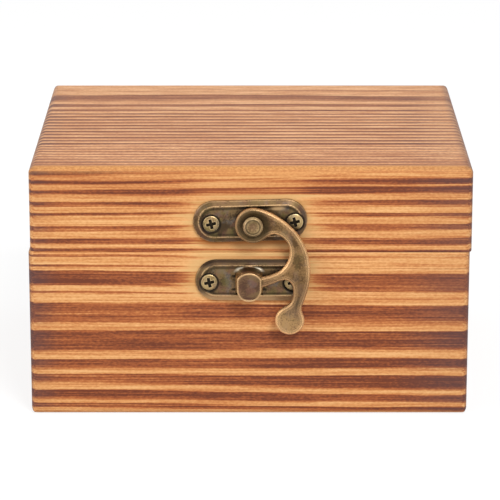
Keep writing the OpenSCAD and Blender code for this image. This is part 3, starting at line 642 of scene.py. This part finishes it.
def bent_marks(m, colour, up, inside):
    """Marks round the keeper's tongue: painted shade in cuts beside it, a painted highlight on its
    arched root.
    """
    aside = m.math("ABSOLUTE", m.math("SUBTRACT", m.x, TONGUE_X))
    away = from_point(m, aside, m.math("SUBTRACT", m.z, TONGUE_ARCH_Z))
    # A painted highlight along the arch where the tongue bends out of the plate
    gleam = m.math("MULTIPLY", band_at(m, away, TONGUE_ARCH_R, 0.6), m.smooth(up, 1.9, 2.7))
    gleam = m.math("MULTIPLY", gleam, m.smooth(aside, 1.0, 1.8))
    flat = m.smooth(inside, LIP_INSIDE, GROOVE_INSIDE, 0.0, 0.8)
    colour = m.mix(m.math("MULTIPLY", gleam, flat), colour, HIGHLIGHT_GREY)
    # Painted shade in the cuts beside the tongue
    cut_x, half_wide, half_high = 3.5, 1.2, 0.5
    for rise in (1.2, -2.1):
        across = m.math("MULTIPLY", m.math("SUBTRACT", aside, cut_x), 1 / half_wide)
        over = m.math("MULTIPLY", m.math("SUBTRACT", up, rise), 1 / half_high)
        cut = m.smooth(from_point(m, across, over), 1.0, 0.3, 0.0, 0.9)
        colour = m.mix(cut, colour, BLACK_SHADE_AND_PATINA)
    return colour


def keeper_marks(m, colour, bright_brass, inside):
    """The keeper's rim: painted shade above and painted light below; a purplish tongue with a worn
    edge.
    """
    up = m.math("SUBTRACT", m.z, TONGUE_Z)
    rim = m.smooth(inside, GROOVE_INSIDE, LIP_INSIDE)
    edge = m.smooth(inside, 0.9, 0.4, 0.5, 1.0)
    # Painted shade along the rim's top, and painted light in bright brass along its bottom
    above = m.math("MULTIPLY", edge, m.smooth(up, 2.4, 4.0, 0.0, 0.9))
    above = m.math("MULTIPLY", above, rim)
    below = m.math("MULTIPLY", rim, m.smooth(up, -2.4, -4.4, 0.0, 0.5))
    colour = m.mix(above, m.mix(below, colour, bright_brass), RIM_SHADE)
    colour = bent_marks(m, colour, up, inside)
    # Only the tongue stands this far out of the box's front
    proud = m.smooth(m.y, -BASE_HALF.y - 3.0, -BASE_HALF.y - 3.6)
    colour = m.mix(m.math("MULTIPLY", proud, 0.3), colour, PURPLE_TINT)
    return m.mix(m.math("MULTIPLY", m.edges(0.7, 6.0), proud), colour, bright_brass)


def eye_gleam(m, colour, bright_brass):
    """A painted highlight, in the bright brass colour, on the hook plate's lip right of the hook's
    eye.
    """
    across = m.math("MULTIPLY", m.math("SUBTRACT", m.x, PIVOT.x + 5.9), 0.4)
    # Painted highlight spot
    gleam = from_point(m, across, m.math("SUBTRACT", m.z, PIVOT.z + 3.8))
    return m.mix(m.smooth(gleam, 1.0, 0.2, 0.0, 0.55), colour, bright_brass)


def plate_shade(plate, screws):
    """The look of a latch plate: lines along its stamped rim, and painted shade round its screws.
    """
    def shade(m, colour, bright_brass, grit):
        inside = m.math("MULTIPLY", away_from_plate(m, plate), -1.0)
        colour = m.mix(m.smooth(inside, 2.0, 1.2, 0.0, 0.55), colour, RIM_BROWN)
        groove = band_at(m, inside, GROOVE_INSIDE, 0.55)
        colour = m.mix(m.math("MULTIPLY", groove, 0.65), colour, BLACK_SHADE_AND_PATINA)
        patchy = m.smooth(grit, 0.3, 0.55)
        for place, width, gain in ((0.1, 0.25, 0.3), (LIP_INSIDE, 0.3, 0.6)):
            line = m.math("MULTIPLY", band_at(m, inside, place, width), gain)
            colour = m.mix(m.math("MULTIPLY", line, patchy), colour, bright_brass)
        low, high = box_mm(screws)
        for x, z in ((low.x + SCREW_HEAD_R, low.z + SCREW_HEAD_R),
                     (high.x - SCREW_HEAD_R, high.z - SCREW_HEAD_R)):
            # A ring of painted shade round each screw's head
            ring = m.smooth(from_axis(m, x, z), SCREW_HEAD_R + 0.65, SCREW_HEAD_R + 0.35)
            colour = m.mix(m.math("MULTIPLY", ring, 0.9), colour, BLACK_SHADE_AND_PATINA)
        if plate == "keeper_plate":
            colour = keeper_marks(m, colour, bright_brass, inside)
        else:
            colour = eye_gleam(m, colour, bright_brass)
        lip = band_at(m, inside, LIP_INSIDE, 0.4)
        form = m.math("SUBTRACT", m.math("MULTIPLY", lip, 0.06), m.math("MULTIPLY", groove, 0.08))
        return colour, form
    return shade


def hook_shade(m, colour, bright_brass, grit):
    """The hook's eye is dished about its rivet, with painted shade and olive patina; its thumb ball
    is rubbed.
    """
    away = from_axis(m, PIVOT.x, PIVOT.z)
    dish = m.smooth(away, 2.4, 4.1)
    # Painted shade of the dished eye, over its dark olive patina
    eye_shade_and_patina = m.math("MULTIPLY", m.smooth(away, 4.9, 3.4), 0.78)
    colour = m.mix(eye_shade_and_patina, colour, EYE_OLIVE)
    # The thumb ball at the hook's foot is worn, and the waist above it is the darkest part
    handled = m.smooth(m.z, PIVOT.z - 19, PIVOT.z - 24, 0.0, 0.2)
    colour = m.mix(m.math("MULTIPLY", handled, m.smooth(grit, 0.2, 0.5)), colour, bright_brass)
    waist = m.smooth(m.math("ABSOLUTE", m.math("SUBTRACT", m.z, PIVOT.z - 17)), 7, 1, 0.0, 0.45)
    colour = m.mix(waist, colour, RIM_BROWN)
    return colour, m.math("MULTIPLY", dish, 0.35)


def rivet_shade(m, colour, bright_brass, grit):
    """The rivet's head has painted shade: a dark ring round its dish and a purplish, darker middle.
    """
    away = from_axis(m, PIVOT.x, PIVOT.z)
    # Painted shade of the dish: a dark ring round it, and its middle darker
    ring = m.math("MULTIPLY", band_at(m, away, 1.7, 0.35), 0.6)
    colour = m.mix(ring, colour, BLACK_SHADE_AND_PATINA)
    return m.mix(m.smooth(away, 1.5, 0.4, 0.0, 0.3), colour, PURPLE_TINT), 0.0


def screw_shade(screws):
    """Painted shade in the cross recess and under the rim of a screw's head."""
    low, high = box_mm(screws)
    face = max(high.y, -low.y)

    def shade(m, colour, bright_brass, grit):
        # Painted shade where the surface lies deeper than the head's face
        sunk = m.smooth(m.math("ABSOLUTE", m.y), face - 0.42, face - 0.62)
        return m.mix(m.math("MULTIPLY", sunk, 0.95), colour, BLACK_SHADE_AND_PATINA), 0.0
    return shade


def steel():
    """Bright spring steel."""
    m = Finish("spring_steel")
    grit = m.noise(m.place, (2.0, 2.0, 2.0), 41, 2.0)
    m.set(Base_Color=m.mix(grit, srgb(150, 152, 156), srgb(190, 192, 196)), Metallic=1.0)
    m.set(Roughness=m.math("MULTIPLY_ADD", grit, 0.2, 0.25))
    m.bump(grit, 0.01, 0.4)
    return m.material


# ---------- Paint ----------

SKIN = srgb(236, 188, 144)
BLUSH = srgb(222, 120, 96)
LIPS = srgb(168, 44, 40)


def paint(name, colour, worn_to, seed, extra=None):
    """Hand-brushed satin paint on turned wood, a little thin on the edges."""
    m = Finish(name)
    cloud = m.noise(m.place, (0.12, 0.12, 0.12), seed, 2.0)
    brush = m.noise(m.place, (0.8, 0.8, 5.0), seed + 3, 2.0)
    dark = tuple(c * 0.8 for c in colour[:3]) + (1.0,)
    shade = m.mix(m.smooth(cloud, 0.3, 0.7), dark, colour)
    if extra:
        shade = extra(m, shade)
    rub = m.math("MULTIPLY", m.edges(0.4, 3.0), m.smooth(brush, 0.45, 0.7))
    shade = m.mix(m.math("MULTIPLY", rub, 0.7), shade, worn_to)
    m.set(Base_Color=shade, Roughness=m.math("MULTIPLY_ADD", brush, 0.2, 0.28))
    m.set(Specular_IOR_Level=0.45)
    m.bump(m.math("MULTIPLY_ADD", cloud, 0.5, brush), 0.04, 0.5)
    return m.material


def spot(m, shade, centre, radius, colour, strength):
    """A soft round spot of colour about a point on the surface."""
    away = m.vector("LENGTH", m.vector("SUBTRACT", m.place, centre))
    return m.mix(m.smooth(away, radius, radius * 0.3, 0.0, strength), shade, colour)


# ---------- Setting the CAD nodes up ----------

# Corners of a CAD mesh closer than this are one, in millimetres
WELD_WITHIN = 0.002


def soften(node, width, angle=30.0):
    """Rounds a CAD node's sharp edges by a small width, in millimetres, and shades it smooth."""
    obj = NODES[node]
    if "custom_normal" in obj.data.attributes:
        obj.data.attributes.remove(obj.data.attributes["custom_normal"])
    obj.data.shade_smooth()
    weld = obj.modifiers.new("weld", "WELD")
    weld.merge_threshold = WELD_WITHIN * MM
    bevel = obj.modifiers.new("bevel", "BEVEL")
    bevel.width = width * MM
    bevel.segments = 2
    bevel.limit_method = "ANGLE"
    bevel.angle_limit = math.radians(angle)
    bevel.miter_outer = "MITER_ARC"
    normals = obj.modifiers.new("normals", "WEIGHTED_NORMAL")
    normals.keep_sharp = False


def cast(node, voxel, passes):
    """Gives a CAD node the melted edges of a casting."""
    obj = NODES[node]
    obj.data.shade_smooth()
    weld = obj.modifiers.new("weld", "WELD")
    weld.merge_threshold = WELD_WITHIN * MM
    remesh = obj.modifiers.new("remesh", "REMESH")
    remesh.mode = "VOXEL"
    remesh.voxel_size = voxel * MM
    remesh.use_smooth_shade = True
    smooth = obj.modifiers.new("smooth", "SMOOTH")
    smooth.factor = 0.5
    smooth.iterations = passes


def dress(node, material):
    """Gives a CAD node its material."""
    data = NODES[node].data
    data.materials.clear()
    data.materials.append(material)


# ---------- Pieces made here ----------


def spring_wire():
    """Centre line of the spring, shut in the box, as (x, y, z) in millimetres."""
    low, high = box_mm("jack_spring")
    radius = high.x - WIRE_R
    climb_from, climb_to = low.z + WIRE_R, high.z - WIRE_R
    steps_a_turn = 48
    steps = round(SPRING_TURNS * steps_a_turn)
    points = []
    for step in range(steps + 1):
        turn = SPRING_TURNS * step / steps
        climbed = (turn - FLAT_TURN) / (SPRING_TURNS - 2 * FLAT_TURN)
        share = min(1.0, max(0.0, climbed))
        angle = math.tau * turn
        points.append((radius * math.cos(angle), radius * math.sin(angle),
                       climb_from + (climb_to - climb_from) * share))
    return points


def round_wire_group(radius, material):
    """Geometry nodes that turn a line into a round wire."""
    tree = bpy.data.node_groups.new("round_wire", "GeometryNodeTree")
    tree.interface.new_socket("Geometry", in_out="INPUT", socket_type="NodeSocketGeometry")
    tree.interface.new_socket("Geometry", in_out="OUTPUT", socket_type="NodeSocketGeometry")
    nodes, links = tree.nodes, tree.links
    start = nodes.new("NodeGroupInput")
    to_curve = nodes.new("GeometryNodeMeshToCurve")
    circle = nodes.new("GeometryNodeCurvePrimitiveCircle")
    circle.inputs["Resolution"].default_value = 12
    circle.inputs["Radius"].default_value = radius * MM
    sweep = nodes.new("GeometryNodeCurveToMesh")
    sweep.inputs["Fill Caps"].default_value = True
    smooth = nodes.new("GeometryNodeSetShadeSmooth")
    finish = nodes.new("GeometryNodeSetMaterial")
    finish.inputs["Material"].default_value = material
    end = nodes.new("NodeGroupOutput")
    links.new(start.outputs[0], to_curve.inputs[0])
    links.new(to_curve.outputs[0], sweep.inputs["Curve"])
    links.new(circle.outputs[0], sweep.inputs["Profile Curve"])
    links.new(sweep.outputs[0], smooth.inputs[0])
    links.new(smooth.outputs[0], finish.inputs[0])
    links.new(finish.outputs[0], end.inputs[0])
    return tree


def coil_spring(material):
    """The jack's spring: a coiled line that geometry nodes sweep into a round wire, in place of the
    CAD spring.
    """
    points = spring_wire()
    mesh = bpy.data.meshes.new("coil_spring")
    edges = [(i, i + 1) for i in range(len(points) - 1)]
    mesh.from_pydata([Vector(p) * MM for p in points], edges, [])
    mesh.materials.append(material)
    spring = bpy.data.objects.new("coil_spring", mesh)
    bpy.context.scene.collection.objects.link(spring)
    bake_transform(spring)
    modifier = spring.modifiers.new("wire", "NODES")
    modifier.node_group = round_wire_group(WIRE_R, material)
    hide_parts("jack_spring")


# ---------- Camera, light and floor ----------


def camera():
    """The photograph's angle: square on the box's front, and looking 16 degrees down."""
    degrees_down = 15.973
    data = bpy.data.cameras.new("camera")
    data.sensor_width = 36
    data.lens = 198.9
    obj = bpy.data.objects.new("camera", data)
    obj.location = (0.0002, -0.6816, 0.2237)
    obj.rotation_euler = (math.radians(90 - degrees_down), 0, 0)
    bpy.context.scene.collection.objects.link(obj)
    bpy.context.scene.camera = obj


def lamp(name, place, size, power):
    """A round soft light at a place, turned to the middle of the box."""
    box_middle = Vector((0, 0, 0.03))
    data = bpy.data.lights.new(name, "AREA")
    data.shape = "DISK"
    data.size = size
    data.energy = power
    obj = bpy.data.objects.new(name, data)
    obj.location = place
    obj.rotation_euler = (box_middle - Vector(place)).to_track_quat("-Z", "Y").to_euler()
    bpy.context.scene.collection.objects.link(obj)


def lights():
    """A key light high in front on the right, and a weaker fill light low on the left."""
    lamp("key", (0.3, -0.8, 0.85), 0.4, 7.2)
    lamp("fill", (-0.8, -0.5, 0.45), 0.6, 2.8)


def seen_ray(t):
    """1 for a ray that sees the studio: from the camera, off a gloss or through glass."""
    path = t.add("ShaderNodeLightPath").outputs
    seen = t.math("MAXIMUM", path["Is Camera Ray"], path["Is Glossy Ray"])
    return t.math("MAXIMUM", seen, path["Is Transmission Ray"])


def world():
    """A white studio: pure white where it is seen, softer where it lights the object."""
    space = bpy.data.worlds.new("studio")
    bpy.context.scene.world = space
    space.use_nodes = True
    t = Tree(space.node_tree)
    background = space.node_tree.nodes["Background"]
    direction = t.add("ShaderNodeTexCoord").outputs["Generated"]
    split = t.add("ShaderNodeSeparateXYZ")
    t.feed(split.inputs[0], direction)
    # The light is weaker from the front, where the camera is
    ahead = t.smooth(split.outputs["Y"], 0.2, -0.9)
    level = t.math("MULTIPLY_ADD", ahead, -0.3, 0.68)
    black, white = (0, 0, 0, 1), (1, 1, 1, 1)
    grey = t.mix(level, black, white)
    t.feed(background.inputs["Color"], t.mix(seen_ray(t), grey, white))
    t.feed(background.inputs["Strength"], 1.0)


def floor():
    """A wide white floor that keeps a faint shadow of the box."""
    mesh = bpy.data.meshes.new("floor")
    far = 6.0
    mesh.from_pydata([(-far, -far, 0), (far, -far, 0), (far, far, 0), (-far, far, 0)],
                     [], [(0, 1, 2, 3)])
    obj = bpy.data.objects.new("floor", mesh)
    bpy.context.scene.collection.objects.link(obj)
    material = bpy.data.materials.new("floor")
    material.use_nodes = True
    t = Tree(material.node_tree)
    material.node_tree.nodes.remove(material.node_tree.nodes["Principled BSDF"])
    output = material.node_tree.nodes["Material Output"]
    # It lights the box as a pale floor would. Where it is seen, a glow washes its shadows out
    plain = t.add("ShaderNodeBsdfDiffuse")
    plain.inputs["Color"].default_value = (0.75, 0.75, 0.75, 1)
    faint = t.add("ShaderNodeBsdfDiffuse")
    faint.inputs["Color"].default_value = (0.25, 0.25, 0.25, 1)
    glow = t.add("ShaderNodeEmission")
    glow.inputs["Strength"].default_value = 0.8
    both = t.add("ShaderNodeAddShader")
    t.feed(both.inputs[0], faint.outputs[0])
    t.feed(both.inputs[1], glow.outputs[0])
    mix = t.add("ShaderNodeMixShader")
    t.feed(mix.inputs[0], seen_ray(t))
    t.feed(mix.inputs[1], plain.outputs[0])
    t.feed(mix.inputs[2], both.outputs[0])
    t.feed(output.inputs["Surface"], mix.outputs[0])
    mesh.materials.append(material)


# ---------- The whole object ----------


def boards():
    """The boards of the base and the lid."""
    for node, material in wood_materials().items():
        dress(node, material)
        soften(node, 0.25)


def metalwork():
    """The latch, the hinges and every screw."""
    patina = (srgb(70, 54, 36), srgb(122, 97, 64), srgb(218, 178, 128))
    brass = (srgb(138, 114, 74), srgb(180, 153, 106), srgb(224, 196, 146), 0.36)
    for plate, screws, seed in (("keeper_plate", "keeper_screws", 51),
                                ("hook_plate", "hook_plate_screws", 52)):
        dress(plate, bronze("bronze_" + plate, seed, *patina, shade=plate_shade(plate, screws)))
        cast(plate, 0.11, 4)
        dress(screws, bronze("brass_" + screws, seed + 10, *brass, shade=screw_shade(screws)))
        soften(screws, 0.06)
    dress("latch_hook", bronze("bronze_hook", 57, srgb(92, 68, 42), srgb(146, 112, 72),
                               srgb(255, 203, 144), shade=hook_shade, open_to=0.8,
                               rubbed=(0.5, 12.0), tinted=0.4))
    cast("latch_hook", 0.11, 3)
    dress("hook_rivet", bronze("bronze_rivet", 59, srgb(112, 90, 58), srgb(158, 132, 92),
                               srgb(244, 208, 156), shade=rivet_shade, open_to=0.6,
                               rubbed=(0.5, 3.5), tinted=0.4))
    cast("hook_rivet", 0.07, 3)
    hinge = bronze("bronze_hinges", 66, *patina)
    for node in ("pivot_washer", "hinge_left_base_leaf", "hinge_right_base_leaf",
                 "hinge_left_lid_leaf", "hinge_right_lid_leaf", "hinge_left_pin",
                 "hinge_right_pin"):
        dress(node, hinge)
        soften(node, 0.14)
    for node in ("hinge_base_screws", "hinge_lid_screws"):
        dress(node, bronze("brass_" + node, 68, *brass, shade=screw_shade(node)))
        soften(node, 0.06)
    dress("spring_disc_screw", steel())
    soften("spring_disc_screw", 0.06)


def painted_face(m, shade):
    """Blushed cheeks, and a smile that is the lower part of a ring about the nose."""
    centre = middle_mm("head")
    smile_z, smile_r = centre.z - 0.4, 6.0
    for side in (-1, 1):
        cheek = (side * 6.2, -8.6, centre.z - 2.6)
        shade = spot(m, shade, cheek, 3.0, BLUSH, 0.75)
    ring = m.math("SUBTRACT", from_axis(m, centre.x, smile_z), smile_r)
    stroke = m.smooth(m.math("ABSOLUTE", ring), 0.42, 0.26)
    low = m.smooth(m.z, smile_z - 0.62 * smile_r, smile_z - 0.7 * smile_r)
    front = m.smooth(m.y, -2.0, -4.0)
    stroke = m.math("MULTIPLY", m.math("MULTIPLY", stroke, low), front)
    return m.mix(stroke, shade, LIPS)


def jack():
    """The painted jack on its spring, and the raw wood that carries them."""
    raw = srgb(226, 188, 136)
    red = paint("red_paint", srgb(196, 44, 36), raw, 71)
    blue = paint("blue_paint", srgb(48, 98, 168), raw, 73)
    yellow = paint("yellow_paint", srgb(232, 186, 62), raw, 75)
    dark = paint("dark_paint", srgb(34, 36, 48), raw, 77)
    skin = paint("skin_paint", SKIN, raw, 79)
    face = paint("face_paint", SKIN, raw, 79, painted_face)
    for node, material in (
        ("head", face), ("ears", skin), ("nose", red), ("eyes", dark), ("hat", blue),
        ("hat_brim", yellow), ("hat_bobble", red), ("collar", yellow), ("spring_plug", red),
    ):
        dress(node, material)
        soften(node, 0.15, 40)
    for node in ("neck_dowel", "spring_disc"):
        dress(node, wood("raw_" + node, "x", random_bands(90, -20, 20), 12, half=BASE_HALF,
                         face_z=0.0, ends=(-20, 20), height=lambda m: m.y, burnt=False))
        soften(node, 0.15)
    coil_spring(steel())


camera()
world()
floor()
lights()
boards()
metalwork()
jack()

bpy.context.scene.view_settings.view_transform = "Standard"
